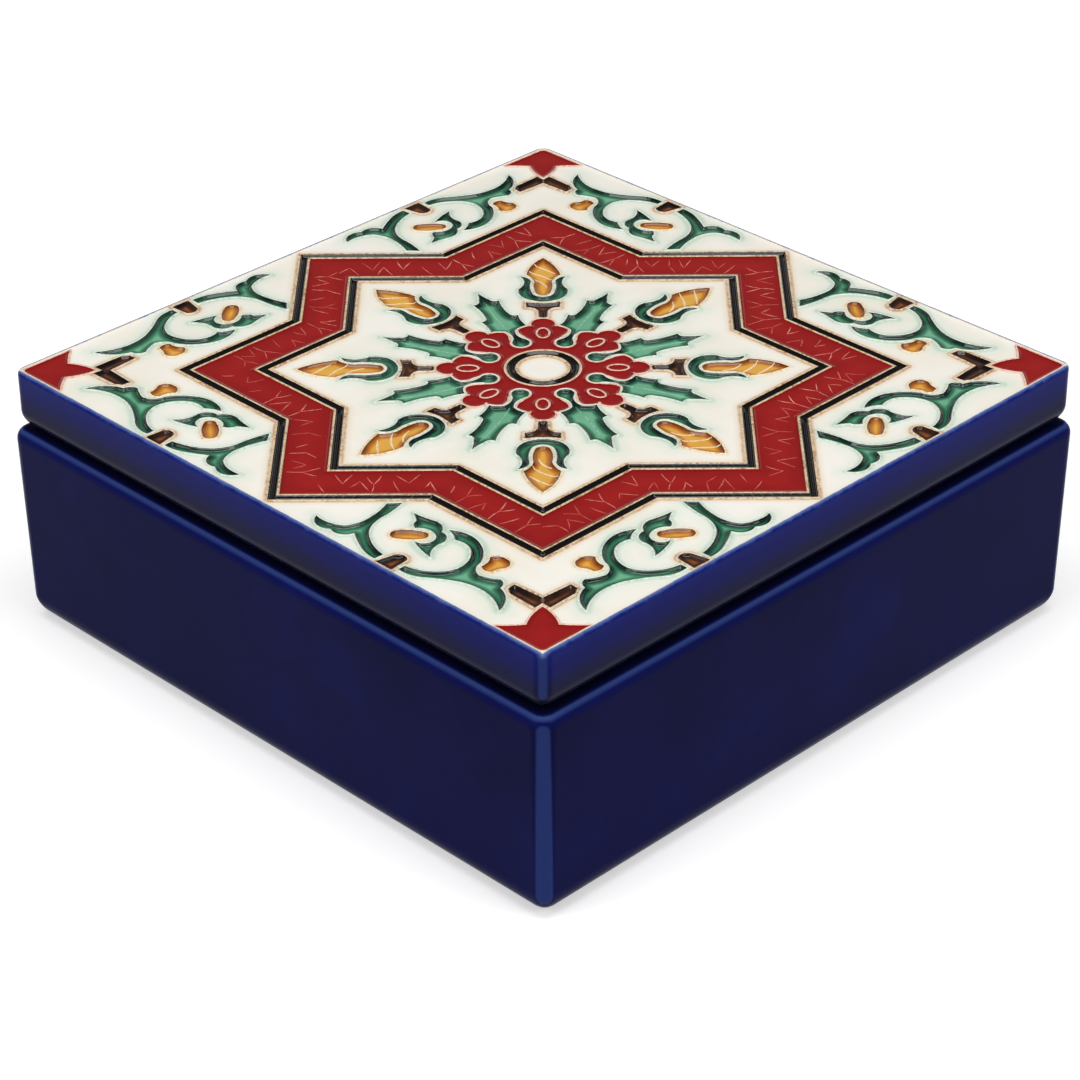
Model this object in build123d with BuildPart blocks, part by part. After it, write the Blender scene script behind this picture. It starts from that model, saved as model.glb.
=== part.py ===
from build123d import *
from math import radians, tan
import os

# A square ceramic keepsake box with a lift-off lid. The lid carries a moulded star tile: a cream
# glaze face with raised ridges, and a pool of coloured glaze in each cell between the ridges.
# The origin is the middle of the base, on the surface that the box stands on. Millimetres.

# Base
BASE_SIDE = 154.4
BASE_HEIGHT = 45.4
BASE_CORNER = 3.5
BASE_WALL = 8.0
BASE_FLOOR = 6.0
BASE_DRAFT = 1.05
BASE_TOP_ROUND = 2.6
BASE_BOTTOM_ROUND = 5.6
CAVITY_CORNER = 8.0
CAVITY_LIP_ROUND = 1.0
CAVITY_FLOOR_ROUND = 5.0
FOOT_WIDTH = 5.0
FOOT_HEIGHT = 1.2

# Lid: its sides stand this far inside the base's sides
LID_INSET = 1.3
LID_HEIGHT = 13.0
LID_CORNER = 2.5
LID_ROOF = 6.5
LID_EDGE_ROUND = 4.0
LID_TOP_ROUND = 0.8
RIM_WALL = 4.0
RIM_DROP = 5.0
RIM_CLEARANCE = 0.8
RIM_ROUND = 1.2

# Tile face: a sheet of cream glaze in a shallow tray, with ridges and pools of glaze on it
FACE_LIP = 0.9
FACE_THICKNESS = 1.0
RIDGE_WIDTH = 0.55
RIDGE_HEIGHT = 0.4
POOL_THICKNESS = 0.25

# Star band: a band between two thin channels, each bounded by two equal squares, one of them
# turned by an eighth of a turn. Its points stop this far inside the face.
STAR_EDGE_GAP = 0.5
BAND_WIDTH = 8.5
CHANNEL_WIDTH = 1.6

# Rosette at the centre
EYE_RADIUS = 5.6
EYE_RING_WIDTH = 1.8
ROSETTE_RADIUS = 12.6
PETALS = 8
OVAL_REACH = 15.2
OVAL_LENGTH = 4.8
OVAL_WIDTH = 3.1
OVAL_LINE = 0.45

base_bottom_side = BASE_SIDE - 2 * BASE_HEIGHT * tan(radians(BASE_DRAFT))
foot_inner_side = base_bottom_side - 2 * (BASE_BOTTOM_ROUND + FOOT_WIDTH)
cavity_side = BASE_SIDE - 2 * BASE_WALL
seat_level = BASE_HEIGHT
ridge_level = seat_level + LID_HEIGHT
field_level = ridge_level - RIDGE_HEIGHT
tray_floor = field_level - FACE_THICKNESS
lid_side = BASE_SIDE - 2 * LID_INSET
face_side = lid_side - 2 * FACE_LIP
face_corner = LID_CORNER - FACE_LIP
rim_side = cavity_side - 2 * RIM_CLEARANCE
rim_corner = CAVITY_CORNER - RIM_CLEARANCE
rim_inner_side = rim_side - 2 * RIM_WALL
rim_inner_corner = rim_corner - RIM_WALL
drawing_fit = face_side / 150
drawn_edge = (face_side / 2 - RIDGE_WIDTH) / drawing_fit
channel_outer = (face_side / 2 - STAR_EDGE_GAP) / 2**0.5 - RIDGE_WIDTH
band_outer = channel_outer - CHANNEL_WIDTH - RIDGE_WIDTH
band_inner = band_outer - BAND_WIDTH
channel_inner = band_inner - RIDGE_WIDTH

os.makedirs("parts", exist_ok=True)


def save(part, name):
    """Labels a finished piece and writes it to its own file."""
    part.label = name
    export_step(part, f"parts/{name}.step")


# Outlines of the drawing, with points in 150ths of the face's side. Each run starts where the last
# one ends. Two points are a line, and a longer run is a chain of arcs through three points in turn.


def arcs(points):
    """A chain of arcs through an odd number of points."""
    for start in range(0, len(points) - 2, 2):
        ThreePointArc(*points[start : start + 3])


def closed_outline(*runs):
    """A flat shape bounded by the runs, fitted to the face."""
    with BuildSketch(mode=Mode.PRIVATE) as shape:
        with BuildLine():
            for run in runs:
                if len(run) == 2:
                    Line(*run)
                else:
                    arcs(run)
        make_face()
        scale(by=drawing_fit)
    return shape.sketch


def grown(shape):
    """A shape with its ridge round it."""
    return offset(shape, RIDGE_WIDTH, mode=Mode.PRIVATE)


def around(shape, count, start=0):
    """Copies of a shape turned evenly round the centre of the face."""
    with BuildSketch(mode=Mode.PRIVATE) as ring:
        with PolarLocations(0, count, start_angle=start):
            add(shape)
    return ring.sketch


def star(half_width):
    """Two equal squares, one turned by an eighth of a turn."""
    with BuildSketch(mode=Mode.PRIVATE) as shape:
        Rectangle(2 * half_width, 2 * half_width)
        Rectangle(2 * half_width, 2 * half_width, rotation=45)
    return shape.sketch


def star_ring(outer, width):
    """The band between two stars."""
    with BuildSketch(mode=Mode.PRIVATE) as ring:
        add(star(outer))
        add(star(outer - width), mode=Mode.SUBTRACT)
    return ring.sketch


def leaf():
    """A holly-like leaf that points along X, with a round knob at its root."""
    half = closed_outline(
        [(10.0, 0), (11.8, 1.8), (13.0, 1.3)],
        [(13.0, 1.3), (15.0, 0.5), (17.5, 1.0)],
        [(17.5, 1.0), (18.2, 2.2), (18.5, 3.9)],
        [(18.5, 3.9), (21.0, 3.7), (23.5, 4.1)],
        [(23.5, 4.1), (23.7, 3.1), (24.5, 2.6)],
        [(24.5, 2.6), (28.0, 2.4), (31.2, 2.9)],
        [(31.2, 2.9), (31.4, 1.7), (32.5, 1.1)],
        [(32.5, 1.1), (34.0, 0.5), (36.0, 0)],
        [(36.0, 0), (10.0, 0)],
    )
    with BuildSketch(mode=Mode.PRIVATE) as shape:
        add(half)
        mirror(about=Plane.XZ)
    return shape.sketch


def calyx():
    """The cup that holds a bud."""
    return closed_outline(
        [
            (41.0, 4.8),
            (38.2, 4.0),
            (35.2, 5.1),
            (31.9, 4.6),
            (29.8, 2.2),
            (29.3, 0),
            (29.8, -2.2),
            (31.9, -4.6),
            (35.2, -5.1),
            (38.2, -4.0),
            (41.0, -4.8),
        ],
        [
            (41.0, -4.8),
            (40.3, -3.4),
            (38.4, -2.6),
            (35.2, -2.7),
            (32.8, -2.2),
            (31.5, 0),
            (32.8, 2.2),
            (35.2, 2.7),
            (38.4, 2.6),
            (40.3, 3.4),
            (41.0, 4.8),
        ],
    )


def bud():
    """A pointed bud with its neck in the cup."""
    return closed_outline(
        [
            (41.8, 3.5),
            (40.4, 2.5),
            (38.3, 1.8),
            (35.3, 1.9),
            (33.3, 1.5),
            (32.2, 0),
            (33.3, -1.5),
            (35.3, -1.9),
            (38.3, -1.8),
            (40.4, -2.5),
            (41.8, -3.7),
        ],
        [(41.8, -3.7), (45.7, -2.5), (49.8, 0)],
        [(49.8, 0), (46.0, 2.5), (41.8, 3.5)],
    )


def stem():
    """The short pedestal between a petal and a cup."""
    return closed_outline(
        [(22.3, -0.9), (22.0, 0), (22.3, 0.9)],
        [(22.3, 0.9), (25.2, 1.0)],
        [(25.2, 1.0), (26.3, 1.9), (26.7, 3.5)],
        [(26.7, 3.5), (29.1, 3.6)],
        [(29.1, 3.6), (28.5, 0), (29.1, -3.6)],
        [(29.1, -3.6), (26.7, -3.5)],
        [(26.7, -3.5), (26.3, -1.9), (25.2, -1.0)],
        [(25.2, -1.0), (22.3, -0.9)],
    )


def long_scroll():
    """The vine between a corner chevron and the clasp on the edge."""
    return closed_outline(
        [
            (54.0, 64.9),
            (53.3, 63.4),
            (51.9, 62.9),
            (50.2, 63.9),
            (48.2, 64.6),
            (46.3, 63.6),
            (45.2, 61.3),
            (43.3, 58.7),
            (40.4, 56.7),
            (36.5, 55.9),
            (32.6, 57.3),
        ],
        [(32.6, 57.3), (34.4, 57.9), (36.0, 59.0)],
        [
            (36.0, 59.0),
            (38.6, 58.6),
            (41.5, 60.1),
            (43.3, 62.8),
            (43.7, 65.7),
            (42.6, 68.1),
            (40.6, 70.0),
            (38.5, 71.2),
            (36.1, 71.8),
        ],
        [(36.1, 71.8), (36.1, 73.4)],
        [
            (36.1, 73.4),
            (38.4, 73.4),
            (41.2, 72.3),
            (44.2, 70.2),
            (47.4, 68.5),
            (50.9, 67.7),
            (54.3, 67.9),
            (57.2, 69.0),
            (59.4, 70.4),
        ],
        [(59.4, 70.4), (57.8, 67.2), (54.0, 64.9)],
    )


def short_scroll():
    """The vine between the clasp and the star, with a branch along the edge."""
    return closed_outline(
        [(30.3, 71.9), (30.2, 73.9)],
        [(30.2, 73.9), (28.2, 73.8), (25.6, 73.0), (22.8, 71.6), (20.8, 70.4)],
        [(20.8, 70.4), (19.6, 72.3), (16.6, 72.5), (13.6, 73.3), (11.0, 71.1)],
        [
            (11.0, 71.1),
            (14.4, 71.2),
            (17.4, 69.9),
            (18.6, 67.4),
            (18.7, 64.4),
            (18.2, 61.6),
            (17.2, 58.8),
        ],
        [(17.2, 58.8), (19.1, 56.6)],
        [
            (19.1, 56.6),
            (19.9, 59.7),
            (20.3, 63.4),
            (21.3, 66.6),
            (23.6, 69.2),
            (26.8, 71.0),
            (30.3, 71.9),
        ],
    )


def sprig():
    """The small leaf that curls round the seed inside the long scroll."""
    return closed_outline(
        [(23.4, 57.7), (26.0, 57.4), (28.7, 56.8), (30.8, 57.3), (32.2, 58.8)],
        [(32.2, 58.8), (34.5, 59.7), (35.0, 62.1), (35.5, 64.4), (37.2, 66.4)],
        [(37.2, 66.4), (34.4, 65.9), (30.9, 64.6)],
        [(30.9, 64.6), (33.4, 62.6), (32.5, 60.5), (30.3, 59.8), (27.6, 61.2)],
        [(27.6, 61.2), (26.4, 60.5), (25.9, 59.3), (24.8, 58.5), (23.4, 57.7)],
    )


def inner_seed():
    """The bean-shaped seed inside the long scroll."""
    return closed_outline(
        [
            (25.6, 64.4),
            (27.4, 62.4),
            (29.6, 61.2),
            (31.4, 61.4),
            (31.5, 62.8),
            (30.2, 64.5),
            (28.0, 66.1),
            (26.0, 66.2),
            (25.6, 64.4),
        ]
    )


def outer_seed():
    """The seed between the long scroll and the star."""
    return closed_outline(
        [(45.1, 58.8), (45.8, 57.6), (47.8, 57.1), (49.4, 57.8), (49.7, 59.6)],
        [(49.7, 59.6), (49.0, 61.0), (48.9, 62.1)],
        [(48.9, 62.1), (47.5, 62.6), (46.2, 62.0)],
        [(46.2, 62.0), (46.1, 60.4), (45.1, 58.8)],
    )


def clasp():
    """The band that ties the two scrolls together at the edge of the face."""
    return closed_outline(
        [(31.9, 70.3), (33.3, 69.4), (34.9, 70.1)],
        [(34.9, 70.1), (35.3, drawn_edge)],
        [(35.3, drawn_edge), (31.0, drawn_edge)],
        [(31.0, drawn_edge), (31.9, 70.3)],
    )


def chevron():
    """The bracket across a corner, notched for the tip of the dart."""
    return closed_outline(
        [(55.2, 64.1), (55.0, 62.3)],
        [(55.0, 62.3), (61.9, 61.9)],
        [(61.9, 61.9), (62.3, 55.0)],
        [(62.3, 55.0), (64.1, 55.2)],
        [(64.1, 55.2), (65.0, 56.6)],
        [(65.0, 56.6), (65.2, 63.3)],
        [(65.2, 63.3), (63.1, 63.1)],
        [(63.1, 63.1), (63.3, 65.2)],
        [(63.3, 65.2), (56.6, 65.0)],
        [(56.6, 65.0), (55.2, 64.1)],
    )


def corner_dart():
    """The three-pointed shape that fills a corner."""
    corner_round = face_corner - RIDGE_WIDTH
    with BuildSketch(mode=Mode.PRIVATE) as shape:
        add(
            closed_outline(
                [(drawn_edge, 62.4), (72.5, 64.4), (70.3, 66.2)],
                [(70.3, 66.2), (67.4, 64.7), (64.0, 64.0)],
                [(64.0, 64.0), (64.7, 67.4), (66.2, 70.3)],
                [(66.2, 70.3), (64.4, 72.5), (62.4, drawn_edge)],
                [(62.4, drawn_edge), (drawn_edge, drawn_edge)],
                [(drawn_edge, drawn_edge), (drawn_edge, 62.4)],
            )
        )
        fillet(shape.vertices().group_by(SortBy.DISTANCE)[-1], radius=corner_round)
    return shape.sketch


def petal():
    """One petal of the rosette, along X: two side lobes and a tip lobe."""
    return closed_outline(
        [(18.1, -2.2), (21.6, 0), (18.1, 2.2)],
        [(18.1, 2.2), (17.9, 4.4), (16.1, 5.1)],
        [(16.1, 5.1), (14.9, 4.7), (14.0, 4.0)],
        [(14.0, 4.0), (12.0, 2.9), (10.0, 2.5)],
        [(10.0, 2.5), (10.0, -2.5)],
        [(10.0, -2.5), (12.0, -2.9), (14.0, -4.0)],
        [(14.0, -4.0), (14.9, -4.7), (16.1, -5.1)],
        [(16.1, -5.1), (17.9, -4.4), (18.1, -2.2)],
    )


def rosette():
    """The rosette's red glaze: a disc and its petals, cut back from the leaves and the eye."""
    with BuildSketch(mode=Mode.PRIVATE) as shape:
        Circle(ROSETTE_RADIUS)
        add(around(petal(), PETALS))
        add(around(grown(leaf()), PETALS, 180 / PETALS), mode=Mode.SUBTRACT)
        Circle(EYE_RADIUS + EYE_RING_WIDTH + RIDGE_WIDTH, mode=Mode.SUBTRACT)
        with PolarLocations(OVAL_REACH, PETALS):
            Ellipse(OVAL_LENGTH / 2, OVAL_WIDTH / 2, mode=Mode.SUBTRACT)
            Ellipse(OVAL_LENGTH / 2 - OVAL_LINE, OVAL_WIDTH / 2 - OVAL_LINE)
    return shape.sketch


def eye_ring():
    """The dark ring round the white eye."""
    with BuildSketch(mode=Mode.PRIVATE) as ring:
        Circle(EYE_RADIUS + EYE_RING_WIDTH)
        Circle(EYE_RADIUS, mode=Mode.SUBTRACT)
    return ring.sketch


def ridge_lines():
    """The raised lines that bound the star band, its two channels and the eye's ring."""
    with BuildSketch(mode=Mode.PRIVATE) as lines:
        add(star_ring(channel_outer + RIDGE_WIDTH, RIDGE_WIDTH))
        add(star_ring(band_outer + RIDGE_WIDTH, RIDGE_WIDTH))
        add(star_ring(band_inner, RIDGE_WIDTH))
        add(star_ring(channel_inner - CHANNEL_WIDTH, RIDGE_WIDTH))
        for radius in (EYE_RADIUS, EYE_RADIUS + EYE_RING_WIDTH + RIDGE_WIDTH):
            with BuildSketch(mode=Mode.PRIVATE) as eye_line:
                Circle(radius)
                Circle(radius - RIDGE_WIDTH, mode=Mode.SUBTRACT)
            add(eye_line.sketch)
    return lines.sketch


def on_spokes(shape):
    """Copies of a shape along each petal's axis."""
    return around(shape, PETALS)


def between_spokes(shape):
    """Copies of a shape between the petals."""
    return around(shape, PETALS, 180 / PETALS)


def in_corners(shape):
    """Copies of a shape in the four corners."""
    return around(shape, 4)


def in_corner_pairs(shape):
    """Copies of a shape in the four corners, each with its mirror image."""
    with BuildSketch(mode=Mode.PRIVATE) as pair:
        add(shape)
        mirror(about=Plane(origin=(0, 0, 0), x_dir=(0, 0, 1), z_dir=(1, -1, 0)))
    return around(pair.sketch, 4)


pools = {
    "star_band_red": star_ring(band_outer, BAND_WIDTH),
    "star_line_outer": star_ring(channel_outer, CHANNEL_WIDTH),
    "star_line_inner": star_ring(channel_inner, CHANNEL_WIDTH),
    "rosette_red": rosette(),
    "eye_ring_dark": eye_ring(),
    "leaves_green": between_spokes(leaf()),
    "cups_green": on_spokes(calyx()),
    "buds_amber": on_spokes(bud()),
    "stems_brown": on_spokes(stem()),
    "long_scrolls_green": in_corner_pairs(long_scroll()),
    "short_scrolls_green": in_corner_pairs(short_scroll()),
    "sprigs_green": in_corner_pairs(sprig()),
    "inner_seeds_amber": in_corner_pairs(inner_seed()),
    "outer_seeds_amber": in_corner_pairs(outer_seed()),
    "clasps_brown": in_corner_pairs(clasp()),
    "chevrons_brown": in_corners(chevron()),
    "corner_darts_red": in_corners(corner_dart()),
}

# Base: a slip-cast tray with drafted walls and a foot ring
with BuildPart() as base:
    with BuildSketch(Plane.XY.offset(BASE_HEIGHT)):
        RectangleRounded(BASE_SIDE, BASE_SIDE, BASE_CORNER)
    extrude(amount=-BASE_HEIGHT, taper=BASE_DRAFT)
    fillet(base.edges().group_by(Axis.Z)[0], radius=BASE_BOTTOM_ROUND)
    fillet(base.edges().group_by(Axis.Z)[-1], radius=BASE_TOP_ROUND)
    with BuildSketch(Plane.XY.offset(BASE_HEIGHT)):
        RectangleRounded(cavity_side, cavity_side, CAVITY_CORNER)
    extrude(amount=BASE_FLOOR - BASE_HEIGHT, taper=BASE_DRAFT, mode=Mode.SUBTRACT)
    cavity_floor = base.faces().filter_by(Plane.XY).sort_by(Axis.Z)[1]
    fillet(cavity_floor.outer_wire().edges(), radius=CAVITY_FLOOR_ROUND)
    cavity_mouth = base.faces().filter_by(Plane.XY).sort_by(Axis.Z)[-1].inner_wires()[0]
    fillet(cavity_mouth.edges(), radius=CAVITY_LIP_ROUND)
    with BuildSketch():
        RectangleRounded(foot_inner_side, foot_inner_side, BASE_CORNER)
    extrude(amount=FOOT_HEIGHT, mode=Mode.SUBTRACT)
save(base.part, "base_box")

# Lid: a roof with a thick edge that sits on the base, a rim that drops inside it, and a shallow
# tray in its top for the star tile
with BuildPart() as lid:
    with BuildSketch(Plane.XY.offset(seat_level)):
        RectangleRounded(lid_side, lid_side, LID_CORNER)
    extrude(amount=LID_HEIGHT)
    fillet(lid.edges().group_by(Axis.Z)[0], radius=LID_EDGE_ROUND)
    fillet(lid.edges().group_by(Axis.Z)[-1], radius=LID_TOP_ROUND)
    with BuildSketch(Plane.XY.offset(seat_level - RIM_DROP)):
        RectangleRounded(rim_side, rim_side, rim_corner)
    extrude(amount=RIM_DROP)
    fillet(lid.edges().group_by(Axis.Z)[0], radius=RIM_ROUND)
    with BuildSketch(Plane.XY.offset(seat_level - RIM_DROP)):
        RectangleRounded(rim_inner_side, rim_inner_side, rim_inner_corner)
    extrude(amount=RIM_DROP + LID_HEIGHT - LID_ROOF, mode=Mode.SUBTRACT)
    with BuildSketch(Plane.XY.offset(ridge_level)):
        RectangleRounded(face_side, face_side, face_corner)
    extrude(amount=tray_floor - ridge_level, mode=Mode.SUBTRACT)
save(lid.part, "lid_body")

# Cream glaze: the ground that the drawing lies on
with BuildPart() as field:
    with BuildSketch(Plane.XY.offset(tray_floor)):
        RectangleRounded(face_side, face_side, face_corner)
    extrude(amount=FACE_THICKNESS)
save(field.part, "field_cream")

# Ridges: each raised line is a closed ring
with BuildPart() as ridges:
    with BuildSketch(Plane.XY.offset(field_level)):
        add(ridge_lines())
    extrude(amount=RIDGE_HEIGHT, mode=Mode.REPLACE)
save(ridges.part, "tile_ridges")

# Coloured glaze: the pools of each kind are separate solids
for name, outline in pools.items():
    with BuildPart() as pool:
        with BuildSketch(Plane.XY.offset(field_level)):
            add(outline)
        extrude(amount=POOL_THICKNESS, mode=Mode.REPLACE)
    save(pool.part, name)
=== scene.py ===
"""A square keepsake box in cobalt glaze, with a moulded star tile in its lift-off lid."""

import math
import random

import bmesh
import bpy
from mathutils import Matrix, Vector, noise
from mathutils.bvhtree import BVHTree
from mathutils.kdtree import KDTree


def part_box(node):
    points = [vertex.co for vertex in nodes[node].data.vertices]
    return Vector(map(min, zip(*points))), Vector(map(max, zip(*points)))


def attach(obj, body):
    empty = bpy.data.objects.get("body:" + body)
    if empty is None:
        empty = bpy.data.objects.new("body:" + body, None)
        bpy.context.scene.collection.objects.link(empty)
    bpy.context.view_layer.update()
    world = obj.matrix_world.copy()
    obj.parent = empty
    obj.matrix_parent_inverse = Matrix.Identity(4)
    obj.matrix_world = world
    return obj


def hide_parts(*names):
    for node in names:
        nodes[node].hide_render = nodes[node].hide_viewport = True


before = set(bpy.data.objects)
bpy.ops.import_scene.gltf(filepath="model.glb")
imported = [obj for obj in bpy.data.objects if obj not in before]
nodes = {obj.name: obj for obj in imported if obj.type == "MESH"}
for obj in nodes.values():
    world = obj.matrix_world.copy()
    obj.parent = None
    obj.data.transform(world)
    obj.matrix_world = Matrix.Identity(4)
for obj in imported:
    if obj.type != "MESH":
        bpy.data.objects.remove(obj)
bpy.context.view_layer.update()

MM = 0.001

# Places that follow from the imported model
FIELD_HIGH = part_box("field_cream")[1]
LID_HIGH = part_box("lid_body")[1]
BASE_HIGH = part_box("base_box")[1]
FIELD_LEVEL = FIELD_HIGH.z
FACE_HALF = FIELD_HIGH.x
TILE_SIDE = 2 * FACE_HALF

# The camera that fits the tile's corners and star, in a square picture. Its distance and the
# amounts that it is slid by are in tile sides.
PICTURE_SIDE = 1080
FOCAL_PIXELS = 3407
SENSOR_WIDTH = 36
AZIMUTH = math.radians(45.31)
ELEVATION = math.radians(31.11)
ROLL = math.radians(-0.45)
DISTANCE = 4.593
SLIDE_RIGHT = 0.004
SLIDE_UP = 0.231

# The moulded relief. Depths and heights are from the cream ground's level, and a ridge's section is
# in millimetres out from its pool and up.
FACE_CORNER = 1.6 * MM
FIELD_CELL = 0.5 * MM
POOL_CELL = 0.55 * MM
WALL_CELL = 0.2 * MM
CELL_SLACK = 1.35
WALL_WIDTH = 0.75 * MM
POOL_RIM = 0.20 * MM
POOL_DEPTHS = {"green": 0.34 * MM, "amber": 0.26 * MM, "brown": 0.32 * MM, "red": 0.04 * MM}
FIELD_UNDER_POOLS = 0.7 * MM
FIELD_CREEP = 0.08 * MM
FIELD_WAVE = 0.05 * MM
RIDGE_SECTION = ((0.10, 0.28), (0.22, 0.31), (0.35, 0.26), (0.48, 0.12), (0.60, -0.06))
OUTLINE_STEP = 0.15 * MM

# How far from a pool its glaze can tint the cream ground, in millimetres
HALO_REACH = 9.0

# How much a rounded vertical corner cuts off the sum of its two half sides, and the base's draft
LID_CORNER_CUT = 1.46 * MM
BASE_CORNER_CUT = 2.05 * MM
BASE_SLOPE = math.tan(math.radians(1.05))

# The studio's floor, in metres
FLOOR_RADIUS = 6.0
FLOOR_WALL = 2.0

POOL_FAMILIES = {
    "star_band_red": "red",
    "star_line_outer": "brown",
    "star_line_inner": "brown",
    "rosette_red": "red",
    "eye_ring_dark": "brown",
    "leaves_green": "green",
    "cups_green": "green",
    "buds_amber": "amber",
    "stems_brown": "brown",
    "long_scrolls_green": "green",
    "short_scrolls_green": "green",
    "sprigs_green": "green",
    "inner_seeds_amber": "amber",
    "outer_seeds_amber": "amber",
    "clasps_brown": "brown",
    "chevrons_brown": "brown",
    "corner_darts_red": "red",
}
STAR_LINES = ("star_line_outer", "star_line_inner", "eye_ring_dark")


# Materials


def new_material(name):
    """A material with its node tree, its surface shader and a place to read the object's own coordinates."""
    material = bpy.data.materials.new(name)
    material.use_nodes = True
    tree = material.node_tree
    shader = tree.nodes["Principled BSDF"]
    place = tree.nodes.new("ShaderNodeTexCoord")
    return material, tree, shader, place.outputs["Object"]


def noise_value(tree, place, scale, detail=3.0, roughness=0.55):
    """Soft noise, from 0 to 1."""
    node = tree.nodes.new("ShaderNodeTexNoise")
    node.inputs["Scale"].default_value = scale
    node.inputs["Detail"].default_value = detail
    node.inputs["Roughness"].default_value = roughness
    tree.links.new(place, node.inputs["Vector"])
    return node.outputs["Fac"]


def attribute_value(tree, name):
    """A number that the mesh carries on its points."""
    node = tree.nodes.new("ShaderNodeAttribute")
    node.attribute_name = name
    return node.outputs["Fac"]


def connect(tree, value, socket):
    """Puts a number, a colour or another node's output on a socket."""
    if isinstance(value, (int, float, tuple)):
        socket.default_value = value
    else:
        tree.links.new(value, socket)


def calculate(tree, operation, first, second=0.0):
    """One sum on two numbers."""
    node = tree.nodes.new("ShaderNodeMath")
    node.operation = operation
    connect(tree, first, node.inputs[0])
    connect(tree, second, node.inputs[1])
    return node.outputs[0]


def between(tree, value, low, high, to_low=0.0, to_high=1.0):
    """A number eased from one range to another, and held at its ends."""
    node = tree.nodes.new("ShaderNodeMapRange")
    node.interpolation_type = "SMOOTHSTEP"
    connect(tree, value, node.inputs["Value"])
    node.inputs["From Min"].default_value = low
    node.inputs["From Max"].default_value = high
    node.inputs["To Min"].default_value = to_low
    node.inputs["To Max"].default_value = to_high
    return node.outputs["Result"]


def blend_colour(tree, amount, first, second, kind="MIX"):
    """Two colours mixed by an amount."""
    node = tree.nodes.new("ShaderNodeMix")
    node.data_type = "RGBA"
    node.blend_type = kind
    connect(tree, amount, node.inputs["Factor"])
    connect(tree, first, node.inputs[6])
    connect(tree, second, node.inputs[7])
    return node.outputs[2]


def colour_steps(tree, value, *steps):
    """A colour looked up along a row of (position, colour) steps."""
    node = tree.nodes.new("ShaderNodeValToRGB")
    node.color_ramp.interpolation = "EASE"
    elements = node.color_ramp.elements
    while len(elements) < len(steps):
        elements.new(0.5)
    for element, (position, colour) in zip(elements, steps):
        element.position = position
        element.color = colour
    connect(tree, value, node.inputs["Fac"])
    return node.outputs["Color"]


def colour(red, green, blue):
    """A screen colour, 0 to 255, as the light that it stands for."""
    parts = []
    for part in (red, green, blue):
        part /= 255
        parts.append(part / 12.92 if part <= 0.04045 else ((part + 0.055) / 1.055) ** 2.4)
    return (*parts, 1.0)


def bump(tree, shader, height, distance, strength=1.0):
    """Small relief on the surface."""
    node = tree.nodes.new("ShaderNodeBump")
    node.inputs["Strength"].default_value = strength
    node.inputs["Distance"].default_value = distance
    tree.links.new(height, node.inputs["Height"])
    tree.links.new(node.outputs["Normal"], shader.inputs["Normal"])


def swell_bump(tree, shader, place, grain):
    """The slow swell of glaze on a flat side, with a little of its grain."""
    slow = noise_value(tree, place, 22.0, 2.0)
    bump(tree, shader, calculate(tree, "ADD", slow, calculate(tree, "MULTIPLY", grain, 0.04)), 0.0005, 0.5)


def corner_sum(tree, x, y):
    """How far out a place is towards a vertical corner: the sum of its distances along both axes."""
    return calculate(tree, "ADD", calculate(tree, "ABSOLUTE", x), calculate(tree, "ABSOLUTE", y))


def separate(tree, vector):
    """The three coordinates of a place."""
    node = tree.nodes.new("ShaderNodeSeparateXYZ")
    tree.links.new(vector, node.inputs[0])
    return node.outputs[0], node.outputs[1], node.outputs[2]


def set_gloss(shader, roughness=0.09, level=0.32):
    """A fired glaze's shine."""
    shader.inputs["Roughness"].default_value = roughness
    shader.inputs["IOR"].default_value = 1.5
    shader.inputs["Specular IOR Level"].default_value = level


def pool_glaze(name, tints, steps, level, cloud_share=0.12):
    """A pool of glaze that is dark on its steep wall and paler towards its centre."""
    material, tree, shader, place = new_material(name)
    reach = steps[-1]
    cloud = noise_value(tree, place, 420.0, 4.0)
    wander = calculate(tree, "MULTIPLY", calculate(tree, "SUBTRACT", cloud, 0.5), 0.5)
    depth = calculate(tree, "ADD", attribute_value(tree, "rim"), wander)
    share = calculate(tree, "DIVIDE", depth, reach)
    stops = [(step / reach, tint) for step, tint in zip(steps, tints)]
    body = colour_steps(tree, share, *stops)
    mottle = noise_value(tree, place, 130.0, 2.0)
    patches = colour_steps(tree, mottle, (0.35, tints[1]), (0.65, tints[-1]))
    tree.links.new(blend_colour(tree, cloud_share, body, patches), shader.inputs["Base Color"])
    set_gloss(shader, 0.07, level)
    bump(tree, shader, noise_value(tree, place, 900.0, 2.0), 0.00003, 0.3)
    return material


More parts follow.
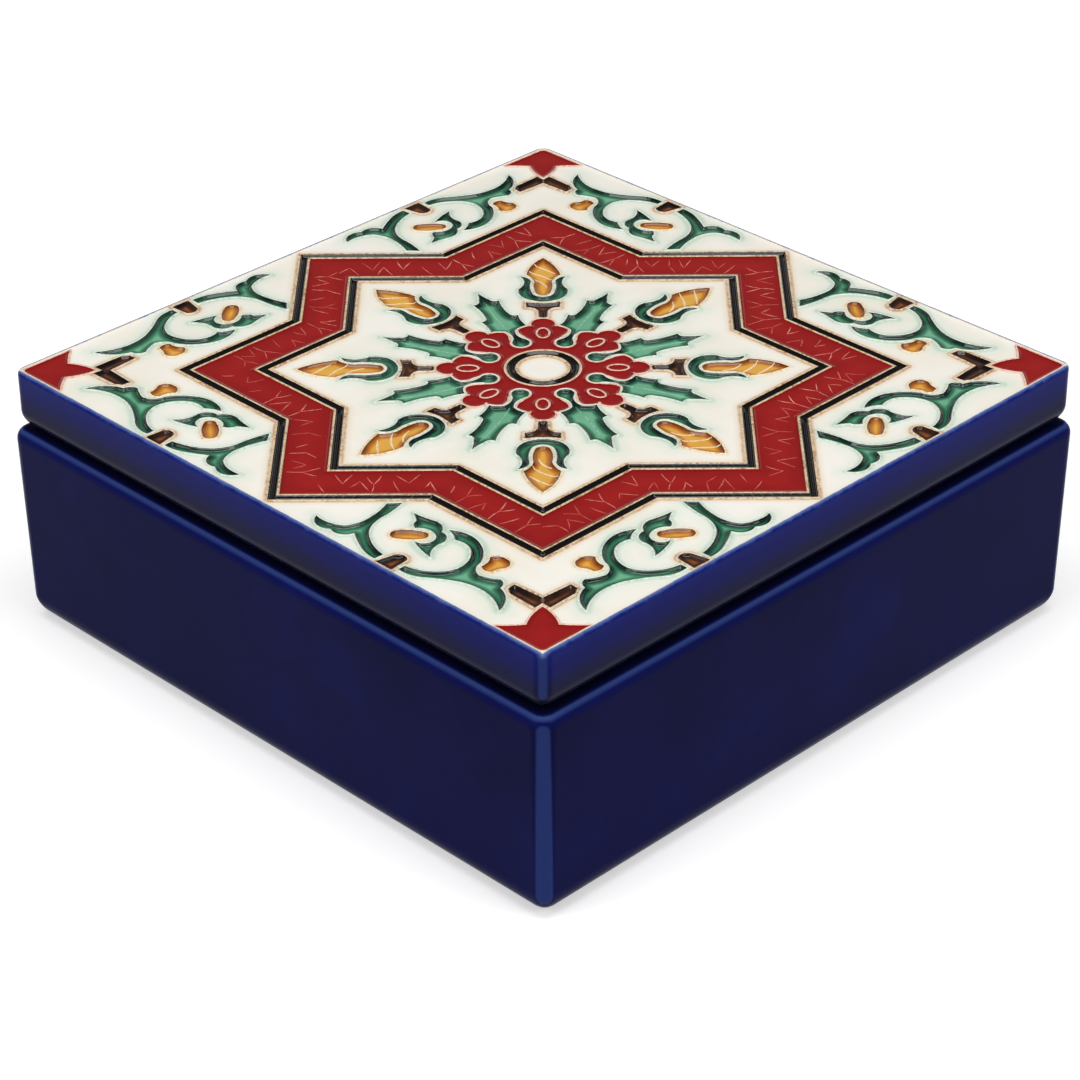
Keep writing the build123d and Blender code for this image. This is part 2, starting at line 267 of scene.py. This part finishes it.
def cobalt_glaze(name, top_level, corner_reach):
    """Deep blue glaze, paler along the vertical corners and the upper edge where it thins and where a
    highlight is painted, with painted shade on the top shelf under the lid.
    """
    material, tree, shader, place = new_material(name)
    x, y, z = separate(tree, place)
    cloud = noise_value(tree, place, 30.0, 3.0)
    grain = noise_value(tree, place, 900.0, 2.0)
    deep = colour_steps(
        tree, cloud, (0.35, colour(11, 13, 58)), (0.55, colour(13, 15, 66)), (0.7, colour(16, 20, 78))
    )
    down = calculate(tree, "SUBTRACT", top_level, z)
    reach = corner_sum(tree, x, y)
    reach = calculate(tree, "ADD", reach, calculate(tree, "MULTIPLY", down, 2 * BASE_SLOPE))
    low = calculate(tree, "MULTIPLY", between(tree, down, 3.0 * MM, 40.0 * MM), 0.25)
    body = blend_colour(tree, low, deep, colour(12, 15, 78))
    # Paler blue on the vertical corners: partly where the glaze thins, partly a painted highlight.
    thin_glaze_and_highlight = between(tree, reach, corner_reach - 0.4 * MM, corner_reach - 0.02 * MM, 0.0, 0.75)
    body = blend_colour(tree, thin_glaze_and_highlight, body, colour(48, 66, 128))
    # A broad painted highlight on the upper round, where the glaze also thins.
    painted_upper_highlight = between(tree, down, 0.8 * MM, 3.0 * MM, 0.5, 0.0)
    body = blend_colour(tree, painted_upper_highlight, body, colour(18, 28, 104))
    # A narrow painted highlight along the crest of the upper round.
    crest = calculate(
        tree,
        "MULTIPLY",
        between(tree, down, 0.2 * MM, 0.5 * MM),
        between(tree, down, 0.5 * MM, 1.3 * MM, 0.75, 0.0),
    )
    body = blend_colour(tree, crest, body, colour(58, 78, 138))
    # Painted shade: near-black navy on the top shelf, in the gap under the lid.
    painted_gap_shade = between(tree, down, 0.05 * MM, 0.4 * MM, 0.85, 0.0)
    body = blend_colour(tree, painted_gap_shade, body, colour(9, 10, 30))
    foot = between(tree, z, 0.25 * MM, 0.75 * MM, 1.0, 0.0)
    clay = colour_steps(tree, grain, (0.3, colour(196, 172, 146)), (0.7, colour(222, 203, 178)))
    body = blend_colour(tree, foot, body, clay)
    tree.links.new(body, shader.inputs["Base Color"])
    set_gloss(shader, 0.2, 0.02)
    tree.links.new(between(tree, foot, 0.0, 1.0, 0.2, 0.85), shader.inputs["Roughness"])
    swell_bump(tree, shader, place, grain)
    return material


def lid_glaze():
    """The lid's blue glaze, greyer low down, a little lighter at its top edge as a painted highlight, near
    black at its lower edge as painted shade in the gap above the base, paler on its vertical corners where
    the glaze thins and a highlight is painted, which ends in a ragged line along the tile's edge.
    """
    material, tree, shader, place = new_material("lid_cobalt")
    x, y, z = separate(tree, place)
    cloud = noise_value(tree, place, 30.0, 3.0)
    grain = noise_value(tree, place, 900.0, 2.0)
    ragged = noise_value(tree, place, 420.0, 5.0, 0.7)
    down = calculate(tree, "SUBTRACT", LID_HIGH.z, z)
    drift = calculate(tree, "MULTIPLY", calculate(tree, "SUBTRACT", cloud, 0.5), 3.0 * MM)
    # Blue down the lid's side: a little lighter at the top edge as a painted highlight, greyer lower down,
    # and near black at the lower edge as painted shade in the gap above the base.
    body = colour_steps(
        tree,
        calculate(tree, "DIVIDE", calculate(tree, "ADD", down, drift), 13.0 * MM),
        (0.0, colour(14, 26, 112)),
        (0.3, colour(10, 17, 94)),
        (0.6, colour(16, 18, 62)),
        (0.85, colour(26, 25, 42)),
        (1.0, colour(6, 7, 16)),
    )
    reach = corner_sum(tree, x, y)
    corner_reach = 2 * LID_HIGH.x - LID_CORNER_CUT
    # Paler blue on the vertical corners: partly where the glaze thins, partly a painted highlight.
    thin_glaze_and_highlight = between(tree, reach, corner_reach - 0.36 * MM, corner_reach - 0.04 * MM, 0.0, 0.7)
    body = blend_colour(tree, thin_glaze_and_highlight, body, colour(46, 64, 126))
    out = calculate(tree, "MAXIMUM", calculate(tree, "ABSOLUTE", x), calculate(tree, "ABSOLUTE", y))
    wander = calculate(tree, "MULTIPLY", calculate(tree, "SUBTRACT", ragged, 0.5), 0.7 * MM)
    edge = calculate(tree, "SUBTRACT", calculate(tree, "ADD", out, wander), FACE_HALF)
    fringe = between(tree, edge, 0.1 * MM, 0.9 * MM, 0.8, 0.0)
    above = between(tree, down, 0.5 * MM, 1.4 * MM, 1.0, 0.0)
    fringe = calculate(tree, "MULTIPLY", fringe, above)
    body = blend_colour(tree, fringe, body, colour(112, 138, 196))
    tan = colour_steps(tree, ragged, (0.35, colour(220, 186, 150)), (0.55, colour(246, 234, 214)))
    line = calculate(tree, "MULTIPLY", between(tree, edge, 0.0, 0.14 * MM, 1.0, 0.0), above)
    body = blend_colour(tree, line, body, tan)
    tree.links.new(body, shader.inputs["Base Color"])
    set_gloss(shader, 0.16, 0.05)
    swell_bump(tree, shader, place, grain)
    return material


def cream_glaze():
    """White tin glaze, tinted by the glazes that bleed into it."""
    material, tree, shader, place = new_material("cream_ground")
    fine = noise_value(tree, place, 600.0, 4.0)
    cloud = noise_value(tree, place, 55.0, 3.0)
    cream = colour_steps(tree, cloud, (0.3, colour(250, 244, 230)), (0.7, colour(254, 250, 241)))
    drift = calculate(tree, "MULTIPLY_ADD", cloud, 2.4)
    drift.node.inputs[2].default_value = -1.2

    near_green = calculate(tree, "ADD", attribute_value(tree, "green"), drift)
    cream = blend_colour(tree, between(tree, near_green, 0.4, 4.5, 0.34, 0.0), cream, colour(206, 232, 216))
    cream = blend_colour(tree, between(tree, near_green, 0.3, 1.5, 0.5, 0.0), cream, colour(168, 206, 184))

    speckle = between(tree, fine, 0.3, 0.66, 0.35, 1.0)
    near_brown = attribute_value(tree, "brown")
    soft_tan = between(tree, near_brown, 0.5, 2.4, 0.5, 0.0)
    cream = blend_colour(tree, soft_tan, cream, colour(236, 212, 178))
    tan = calculate(tree, "MULTIPLY", between(tree, near_brown, 0.55, 1.15, 0.8, 0.0), speckle)
    cream = blend_colour(tree, tan, cream, colour(186, 136, 92))

    near_amber = between(tree, attribute_value(tree, "amber"), 0.4, 1.6, 0.45, 0.0)
    cream = blend_colour(tree, near_amber, cream, colour(244, 222, 182))
    near_red = between(tree, attribute_value(tree, "red"), 0.3, 1.2, 0.3, 0.0)
    cream = blend_colour(tree, near_red, cream, colour(240, 204, 190))
    tree.links.new(cream, shader.inputs["Base Color"])
    set_gloss(shader, 0.1, 0.2)
    bump(tree, shader, noise_value(tree, place, 350.0, 3.0), 0.00008, 0.3)
    return material


def ridge_glaze(name, crest, foot):
    """Thin pale glaze over a moulded ridge."""
    material, tree, shader, place = new_material(name)
    speck = noise_value(tree, place, 1400.0, 4.0, 0.65)
    long_drift = noise_value(tree, place, 140.0, 2.0)
    patch = between(tree, long_drift, 0.35, 0.6, 0.35, 1.0)
    worn = calculate(tree, "MULTIPLY", between(tree, speck, 0.42, 0.62), patch)
    tree.links.new(blend_colour(tree, worn, crest, foot), shader.inputs["Base Color"])
    set_gloss(shader, 0.16, 0.35)
    bump(tree, shader, speck, 0.00005, 0.4)
    return material


def stroke_glaze():
    """Pale pink glaze in the marks scratched through the red band."""
    material, tree, shader, place = new_material("scratched_marks")
    speck = noise_value(tree, place, 900.0, 3.0)
    faint = attribute_value(tree, "faint")
    pale = colour_steps(tree, speck, (0.3, colour(204, 94, 82)), (0.7, colour(238, 168, 148)))
    tree.links.new(blend_colour(tree, faint, pale, colour(172, 42, 38)), shader.inputs["Base Color"])
    set_gloss(shader, 0.12, 0.3)
    bump(tree, shader, speck, 0.00004, 0.3)
    return material


GREEN_TINTS = (colour(4, 12, 16), colour(10, 48, 36), colour(38, 110, 78), colour(118, 184, 148))
AMBER_TINTS = (colour(84, 30, 12), colour(150, 76, 20), colour(200, 122, 34), colour(236, 178, 78))
BROWN_TINTS = (colour(8, 5, 8), colour(20, 10, 10), colour(60, 30, 16), colour(150, 82, 32))
STAR_TINTS = (colour(6, 4, 6), colour(9, 6, 8), colour(15, 9, 10), colour(26, 15, 14))
RED_TINTS = (colour(122, 16, 18), colour(144, 22, 23), colour(152, 25, 25), colour(162, 30, 28))
POOL_GLAZES = {
    "green": pool_glaze("green_pool", GREEN_TINTS, (0.26, 0.6, 1.05, 2.0), 0.45),
    "amber": pool_glaze("amber_pool", AMBER_TINTS, (0.2, 0.5, 0.9, 1.7), 0.45),
    "brown": pool_glaze("brown_pool", BROWN_TINTS, (0.3, 0.7, 1.1, 1.8), 0.5),
    "red": pool_glaze("red_pool", RED_TINTS, (0.1, 0.5, 1.5, 4.0), 0.2, 0.3),
}
STAR_BROWN = pool_glaze("star_line_pool", STAR_TINTS, (0.2, 0.4, 0.6, 0.9), 0.5)
RIDGE_GLAZES = {
    "green": ridge_glaze("pale_green_ridge", colour(232, 238, 224), colour(184, 212, 194)),
    "amber": ridge_glaze("pale_amber_ridge", colour(248, 236, 208), colour(222, 184, 132)),
    "brown": ridge_glaze("pale_brown_ridge", colour(240, 220, 192), colour(186, 138, 96)),
    "red": ridge_glaze("pale_red_ridge", colour(244, 210, 186), colour(222, 158, 132)),
}
BUD_LINE = ridge_glaze("bud_line", colour(248, 228, 190), colour(232, 196, 140))
LEAF_LINE = ridge_glaze("leaf_line", colour(150, 204, 172), colour(96, 160, 124))
STAR_RIDGE = ridge_glaze("star_ridge", colour(236, 212, 174), colour(176, 126, 82))


# The tile's relief


def top_sheet(node):
    """The upper face of a node as a mesh of its own."""
    sheet = bmesh.new()
    sheet.from_mesh(node.data)
    bmesh.ops.remove_doubles(sheet, verts=sheet.verts[:], dist=1e-6)
    top = max(v.co.z for v in sheet.verts)
    lower = [f for f in sheet.faces if min(v.co.z for v in f.verts) < top - 1e-6]
    bmesh.ops.delete(sheet, geom=lower, context="FACES")
    return sheet


def refine(sheet, tree):
    """Divides a flat sheet into triangles, small on the wall along its outline and larger inside."""
    rim = sheet.verts.layers.float.new("rim")
    for vertex in sheet.verts:
        vertex[rim] = 0.0
    for _ in range(10):
        long_edges = []
        for edge in sheet.edges:
            length = edge.calc_length()
            if length > CELL_SLACK * WALL_CELL:
                inside = max((edge.verts[0][rim] + edge.verts[1][rim]) / 2 - WALL_WIDTH, 0.0)
                if length > CELL_SLACK * min(WALL_CELL + inside / 2, POOL_CELL):
                    long_edges.append(edge)
        if not long_edges:
            break
        first_new = len(sheet.verts)
        bmesh.ops.subdivide_edges(sheet, edges=long_edges, cuts=1)
        sheet.verts.ensure_lookup_table()
        for vertex in sheet.verts[first_new:]:
            vertex[rim] = 0.0 if vertex.is_boundary else distance_to(tree, vertex.co)
        bmesh.ops.triangulate(sheet, faces=sheet.faces[:])
        inner = [e for e in sheet.edges if not e.is_boundary]
        bmesh.ops.beautify_fill(sheet, faces=sheet.faces[:], edges=inner)
    loose = [v for v in sheet.verts if not v.is_boundary]
    for _ in range(3):
        bmesh.ops.smooth_vert(sheet, verts=loose, factor=0.5, use_axis_x=True, use_axis_y=True)


def outline_points(sheet):
    """Points close together along a sheet's outline."""
    points = []
    for edge in sheet.edges:
        if edge.is_boundary:
            first, second = (v.co for v in edge.verts)
            count = max(1, round((second - first).length / OUTLINE_STEP))
            points += [first.lerp(second, step / count) for step in range(count)]
    return points


def point_tree(points):
    """A search tree over points, flattened to one level."""
    tree = KDTree(len(points))
    for index, point in enumerate(points):
        tree.insert((point.x, point.y, 0.0), index)
    tree.balance()
    return tree


def distance_to(tree, point):
    """How far a point is from a tree's points, seen from above."""
    return tree.find((point.x, point.y, 0.0))[2]


def pool_height(inside, depth):
    """The level of a pool's surface: a smooth wall from its rim down to its floor."""
    share = min(inside / WALL_WIDTH, 1.0)
    return FIELD_LEVEL + POOL_RIM - (POOL_RIM + depth) * share * share * (3 - 2 * share)


def finish_piece(sheet, name, material, node_names):
    """Makes a mesh into a smooth piece that rides on the lid."""
    mesh = bpy.data.meshes.new(name)
    sheet.to_mesh(mesh)
    sheet.free()
    mesh.polygons.foreach_set("use_smooth", [True] * len(mesh.polygons))
    mesh.materials.append(material)
    piece = bpy.data.objects.new(name, mesh)
    bpy.context.scene.collection.objects.link(piece)
    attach(piece, "lid")
    if node_names:
        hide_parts(*node_names)


def outward_layer(sheet):
    """Gives each point of the outline the way out of the sheet."""
    layer = sheet.verts.layers.float_vector.new("out")
    for edge in sheet.edges:
        if not edge.is_boundary:
            continue
        first, second = edge.verts
        along = (second.co - first.co).normalized()
        out = Vector((along.y, -along.x, 0.0))
        if out.dot(edge.link_faces[0].calc_center_median() - first.co) > 0:
            out.negate()
        for vertex in edge.verts:
            vertex[layer] = vertex[layer] + out
    for vertex in sheet.verts:
        total = vertex[layer]
        if total.length > 0:
            vertex[layer] = total.normalized() * min(2 / total.length, 1.5)
    return layer


def ridge_sheet(sheet):
    """The ridge round a sheet: its outline drawn outwards over a rounded section."""
    ridge = sheet.copy()
    layer = outward_layer(ridge)
    outline = [e for e in ridge.edges if e.is_boundary]
    inner = [e for e in ridge.edges if not e.is_boundary]
    bmesh.ops.delete(ridge, geom=ridge.faces[:], context="FACES_ONLY")
    bmesh.ops.delete(ridge, geom=inner, context="EDGES")
    bmesh.ops.delete(ridge, geom=[v for v in ridge.verts if not v.link_edges], context="VERTS")
    for vertex in ridge.verts:
        vertex.co.z = FIELD_LEVEL + POOL_RIM
    reach = 0.0
    for out, height in RIDGE_SECTION:
        made = bmesh.ops.extrude_edge_only(ridge, edges=outline)["geom"]
        points = [g for g in made if isinstance(g, bmesh.types.BMVert)]
        fresh = set(points)
        edges = [g for g in made if isinstance(g, bmesh.types.BMEdge)]
        outline = [e for e in edges if e.verts[0] in fresh and e.verts[1] in fresh]
        for vertex in points:
            vertex.co += vertex[layer] * (out * MM - reach)
            vertex.co.z = FIELD_LEVEL + height * MM
        reach = out * MM
    bmesh.ops.recalc_face_normals(ridge, faces=ridge.faces[:])
    if ridge.faces and sum(f.normal.z for f in ridge.faces) < 0:
        bmesh.ops.reverse_faces(ridge, faces=ridge.faces[:])
    return ridge


def add_mesh(whole, part):
    """Adds one mesh to another."""
    carrier = bpy.data.meshes.new("carrier")
    part.to_mesh(carrier)
    part.free()
    whole.from_mesh(carrier)
    bpy.data.meshes.remove(carrier)


def pour_pools():
    """Fills every cell with its glaze.

    Returns the ridges and the outline points by family, and the search tree of each node's outline.
    """
    ridges = {"star": bmesh.new(), **{family: bmesh.new() for family in POOL_GLAZES}}
    outlines = {family: [] for family in POOL_GLAZES}
    trees = {}
    for name, family in POOL_FAMILIES.items():
        sheet = top_sheet(nodes[name])
        points = outline_points(sheet)
        outlines[family] += points
        tree = trees[name] = point_tree(points)
        refine(sheet, tree)
        if name != "star_band_red":
            add_mesh(ridges["star" if name in STAR_LINES else family], ridge_sheet(sheet))
        rim = sheet.verts.layers.float["rim"]
        for vertex in sheet.verts:
            inside = 0.0 if vertex.is_boundary else distance_to(tree, vertex.co)
            vertex[rim] = inside / MM
            vertex.co.z = pool_height(inside, POOL_DEPTHS[family])
        glaze = STAR_BROWN if name in STAR_LINES else POOL_GLAZES[family]
        finish_piece(sheet, f"{name}_pool", glaze, [name])
    return ridges, outlines, trees


def raise_ridges(ridges):
    """The ridges of each tint as a piece."""
    for family, sheet in ridges.items():
        if family == "star":
            finish_piece(sheet, "ridges_star", STAR_RIDGE, ["tile_ridges"])
        else:
            finish_piece(sheet, f"ridges_{family}", RIDGE_GLAZES[family], [])


def pull_into_corner(point):
    """Moves a point of the square face inside its rounded corner."""
    straight = FACE_HALF - FACE_CORNER
    past_x, past_y = abs(point.x) - straight, abs(point.y) - straight
    if past_x > 0 and past_y > 0:
        past = math.hypot(past_x, past_y)
        if past > FACE_CORNER:
            point.x = math.copysign(straight + past_x * FACE_CORNER / past, point.x)
            point.y = math.copysign(straight + past_y * FACE_CORNER / past, point.y)


def pour_field(outlines):
    """The cream ground: sunk under the pools, and creeping up their ridges and the tile's edge."""
    cells = round(2 * FACE_HALF / FIELD_CELL)
    sheet = bmesh.new()
    bmesh.ops.create_grid(sheet, x_segments=cells, y_segments=cells, size=FACE_HALF)
    layers = {family: sheet.verts.layers.float.new(family) for family in outlines}
    trees = {family: point_tree(points) for family, points in outlines.items()}
    cover = bmesh.new()
    for name in POOL_FAMILIES:
        add_mesh(cover, top_sheet(nodes[name]))
    under = BVHTree.FromBMesh(cover)
    cover.free()
    down = Vector((0, 0, -1))
    for vertex in sheet.verts:
        pull_into_corner(vertex.co)
        place = vertex.co
        nearest = HALO_REACH
        for family, layer in layers.items():
            away = min(distance_to(trees[family], place) / MM, HALO_REACH)
            vertex[layer] = away
            nearest = min(nearest, away)
        edge = max(FACE_HALF - max(abs(place.x), abs(place.y)), 0.0)
        wave = FIELD_WAVE * noise.noise(Vector((place.x, place.y, 0.0)) * 90)
        creep = FIELD_CREEP * math.exp(-max(nearest - 0.5, 0.0) / 0.8)
        lip = 0.25 * MM * math.exp(-edge / (0.5 * MM))
        place.z = FIELD_LEVEL + wave + creep + lip
        if under.ray_cast(Vector((place.x, place.y, 1.0)), down)[0] is not None:
            place.z = FIELD_LEVEL - FIELD_UNDER_POOLS
    finish_piece(sheet, "cream_ground", cream_glaze(), ["field_cream"])


# Marks on the glaze


def ribbon(sheet, points, widths, height, lift, faint_layer=None, faint=0.0):
    """A thin rounded line along points, laid on the surface that height gives."""
    rows = []
    for index, point in enumerate(points):
        before, after = points[max(index - 1, 0)], points[min(index + 1, len(points) - 1)]
        along = (after - before).normalized()
        across = Vector((-along.y, along.x, 0)) * widths[index] / 2
        row = []
        for side, rise in ((-1, -0.3), (0, 1), (1, -0.3)):
            place = point + across * side
            row.append(sheet.verts.new((place.x, place.y, height(place) + rise * lift)))
        if faint_layer:
            for vertex in row:
                vertex[faint_layer] = faint
        rows.append(row)
    for first, second in zip(rows, rows[1:]):
        for side in (0, 1):
            sheet.faces.new((first[side], second[side], second[side + 1], first[side + 1]))


def bent_line(start, bend, end, count=9):
    """Points along a curve from start to end that leans towards bend."""
    shares = [step / (count - 1) for step in range(count)]
    return [start.lerp(bend, share).lerp(bend.lerp(end, share), share) for share in shares]


def tapered(width, count):
    """Widths that swell from a fine point and end in one."""
    return [width * (0.25 + 0.75 * math.sin(math.pi * step / (count - 1))) for step in range(count)]


def band_sides():
    """The red band's straight sides: each one's notch, its tip, its way out and half its width."""
    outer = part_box("star_line_outer")[1].x / math.sqrt(2) - 2.15 * MM
    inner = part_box("star_line_inner")[1].x / math.sqrt(2) + 0.55 * MM
    middle = (outer + inner) / 2
    for index in range(16):
        turn = Matrix.Rotation((index // 2) * math.pi / 4, 4, "Z")
        side = 1 if index % 2 else -1
        tip = Vector((middle * math.sqrt(2), 0, 0))
        notch = Vector((middle, side * middle * math.tan(math.pi / 8), 0))
        notch = Matrix.Rotation(side * (math.pi / 8 - math.atan2(abs(notch.y), notch.x)), 4, "Z") @ notch
        out = Vector((1, side, 0)).normalized()
        yield turn @ notch, turn @ tip, turn @ out, (outer - inner) / 2


def scratch_band():
    """Forks and arches scratched by turns along the red band."""
    rng = random.Random(5)
    sheet = bmesh.new()
    faint_layer = sheet.verts.layers.float.new("faint")
    level = FIELD_LEVEL - POOL_DEPTHS["red"]
    for notch, tip, out, reach in band_sides():
        along = (tip - notch).normalized()
        length = (tip - notch).length
        place = rng.uniform(1.0, 2.6) * MM
        fork = rng.random() < 0.5
        while place < length - 2.5 * MM:
            centre = notch + along * place

            def at(step, rise):
                """A point of the mark, loosely placed."""
                sway = rng.uniform(-0.35, 0.35) * MM
                return centre + along * (step * MM + sway) + out * (rise * reach + sway)

            faint = rng.choice((0.0, 0.15, 0.3, 0.5, 0.65))
            half = rng.uniform(1.3, 2.1)
            if fork:
                joint = at(0, 0.05)
                lines = [(at(-half, -0.72), joint), (at(half, rng.uniform(-0.75, -0.45)), joint)]
                if rng.random() < 0.75:
                    lines.append((joint, at(rng.uniform(-0.4, 0.6), 0.78)))
            else:
                crown = at(0, rng.uniform(-0.2, 0.1))
                lines = [(crown, at(-half * 0.8, 0.75)), (crown, at(half, rng.uniform(0.4, 0.8)))]
            if rng.random() < 0.3:
                lines.pop(rng.randrange(len(lines)))
            for first, last in lines:
                bend = first.lerp(last, 0.5) + along * rng.uniform(-0.35, 0.35) * MM
                points = bent_line(first, bend, last, 6)
                widths = tapered(rng.uniform(0.22, 0.36) * MM, 6)
                ribbon(sheet, points, widths, lambda p: level, 0.05 * MM, faint_layer, faint)
            fork = not fork
            place += rng.uniform(2.8, 4.8) * MM
    finish_piece(sheet, "band_marks", stroke_glaze(), [])


def repeat_round(sheet, count):
    """Turned copies of a sheet round the centre of the face."""
    first = sheet.verts[:] + sheet.edges[:] + sheet.faces[:]
    for step in range(1, count):
        copy = bmesh.ops.duplicate(sheet, geom=first)["geom"]
        turned = [g for g in copy if isinstance(g, bmesh.types.BMVert)]
        spin = Matrix.Rotation(step * 2 * math.pi / count, 3, "Z")
        bmesh.ops.rotate(sheet, verts=turned, cent=(0, 0, 0), matrix=spin)


def draw_lines(name, material, node, turn, lines, width, tree):
    """Thin raised lines on a pool, along its axis, repeated on all eight."""
    depth = POOL_DEPTHS[POOL_FAMILIES[node]]
    turned = Matrix.Rotation(turn, 3, "Z")
    sheet = bmesh.new()
    for ends in lines:
        start, bend, end = (turned @ Vector((x * MM, y * MM, 0)) for x, y in ends)
        points = bent_line(start, bend, end)
        widths = tapered(width, len(points))
        ribbon(sheet, points, widths, lambda p: pool_height(distance_to(tree, p), depth), 0.12 * MM)
    repeat_round(sheet, 8)
    finish_piece(sheet, name, material, [])


# Camera, light and stage


def set_camera():
    """The camera of the photograph, as fitted to the tile."""
    back = Vector(
        (
            math.sin(AZIMUTH) * math.cos(ELEVATION),
            -math.cos(AZIMUTH) * math.cos(ELEVATION),
            math.sin(ELEVATION),
        )
    )
    level_right = Vector((math.cos(AZIMUTH), math.sin(AZIMUTH), 0))
    level_up = back.cross(level_right)
    right = level_right * math.cos(ROLL) + level_up * math.sin(ROLL)
    up = level_up * math.cos(ROLL) - level_right * math.sin(ROLL)
    centre = Vector((0, 0, FIELD_LEVEL))
    place = centre + (back * DISTANCE - right * SLIDE_RIGHT - up * SLIDE_UP) * TILE_SIDE
    data = bpy.data.cameras.new("camera")
    data.sensor_width = SENSOR_WIDTH
    data.lens = FOCAL_PIXELS / PICTURE_SIDE * SENSOR_WIDTH
    data.clip_start = 0.01
    camera = bpy.data.objects.new("camera", data)
    turn = Matrix((right, up, back)).transposed().to_4x4()
    camera.matrix_world = Matrix.Translation(place) @ turn
    bpy.context.scene.collection.objects.link(camera)
    bpy.context.scene.camera = camera


def soft_lamp(name, place, long_side, short_side, watts):
    """A soft box that faces the middle of the object."""
    data = bpy.data.lights.new(name, "AREA")
    data.shape = "RECTANGLE"
    data.size = long_side
    data.size_y = short_side
    data.energy = watts
    lamp = bpy.data.objects.new(name, data)
    aim = Vector((0, 0, 0.03)) - Vector(place)
    lamp.matrix_world = Matrix.Translation(place) @ aim.to_track_quat("-Z", "Y").to_matrix().to_4x4()
    bpy.context.scene.collection.objects.link(lamp)


def set_world():
    """A dim studio room: the lamps give most of the light."""
    world = bpy.data.worlds.new("studio")
    world.use_nodes = True
    background = world.node_tree.nodes["Background"]
    background.inputs["Color"].default_value = (1.0, 1.0, 1.0, 1.0)
    background.inputs["Strength"].default_value = 0.14
    bpy.context.scene.world = world


def set_floor():
    """A pale round floor with a low wall, white where the camera, gloss or glass shows it."""
    sheet = bmesh.new()
    bmesh.ops.create_circle(sheet, cap_ends=True, segments=64, radius=FLOOR_RADIUS)
    rim = [e for e in sheet.edges if e.is_boundary]
    made = bmesh.ops.extrude_edge_only(sheet, edges=rim)["geom"]
    raised = [g for g in made if isinstance(g, bmesh.types.BMVert)]
    bmesh.ops.translate(sheet, verts=raised, vec=(0, 0, FLOOR_WALL))
    mesh = bpy.data.meshes.new("floor")
    sheet.to_mesh(mesh)
    sheet.free()
    floor = bpy.data.objects.new("floor", mesh)
    bpy.context.scene.collection.objects.link(floor)
    material, tree, shader, _ = new_material("pale_floor")
    shader.inputs["Base Color"].default_value = (0.82, 0.82, 0.82, 1.0)
    shader.inputs["Roughness"].default_value = 1.0
    shader.inputs["Specular IOR Level"].default_value = 0.0
    shader.inputs["Emission Color"].default_value = (1.0, 1.0, 1.0, 1.0)
    path = tree.nodes.new("ShaderNodeLightPath")
    seen = calculate(tree, "MAXIMUM", path.outputs["Is Camera Ray"], path.outputs["Is Glossy Ray"])
    seen = calculate(tree, "MAXIMUM", seen, path.outputs["Is Transmission Ray"])
    tree.links.new(calculate(tree, "MULTIPLY", seen, 0.45), shader.inputs["Emission Strength"])
    mesh.materials.append(material)


def dress_clay():
    """The blue glaze on the base and the lid."""
    base = cobalt_glaze("base_cobalt", BASE_HIGH.z, 2 * BASE_HIGH.x - BASE_CORNER_CUT)
    for name, material in (("base_box", base), ("lid_body", lid_glaze())):
        mesh = nodes[name].data
        mesh.materials.clear()
        mesh.materials.append(material)


set_camera()
set_world()
set_floor()
bpy.context.scene.view_settings.view_transform = "Standard"
soft_lamp("overhead_soft_box", (0.12, -0.12, 1.1), 1.1, 0.45, 6.8)
soft_lamp("left_soft_box", (-0.35, -1.25, 0.9), 1.0, 1.0, 7.6)
soft_lamp("right_soft_box", (1.25, 0.35, 0.9), 1.0, 1.0, 7.6)

dress_clay()
ridges, outlines, trees = pour_pools()
raise_ridges(ridges)
pour_field(outlines)
scratch_band()

# The start, bend and end of each line along a leaf or a bud, in millimetres from the tile's centre
LEAF_RIB = [((17.0, 0.0), (24.0, 0.7), (31.6, -0.2))]
BUD_TWISTS = [
    ((36.2, -0.8), (38.6, -0.6), (40.2, 1.8)),
    ((39.6, -2.0), (42.0, -0.6), (43.6, 3.0)),
    ((43.0, -2.6), (45.0, -0.8), (46.9, 1.9)),
]
draw_lines("leaf_ribs", LEAF_LINE, "leaves_green", math.pi / 8, LEAF_RIB, 0.42 * MM, trees["leaves_green"])
draw_lines("bud_twists", BUD_LINE, "buds_amber", 0.0, BUD_TWISTS, 0.62 * MM, trees["buds_amber"])
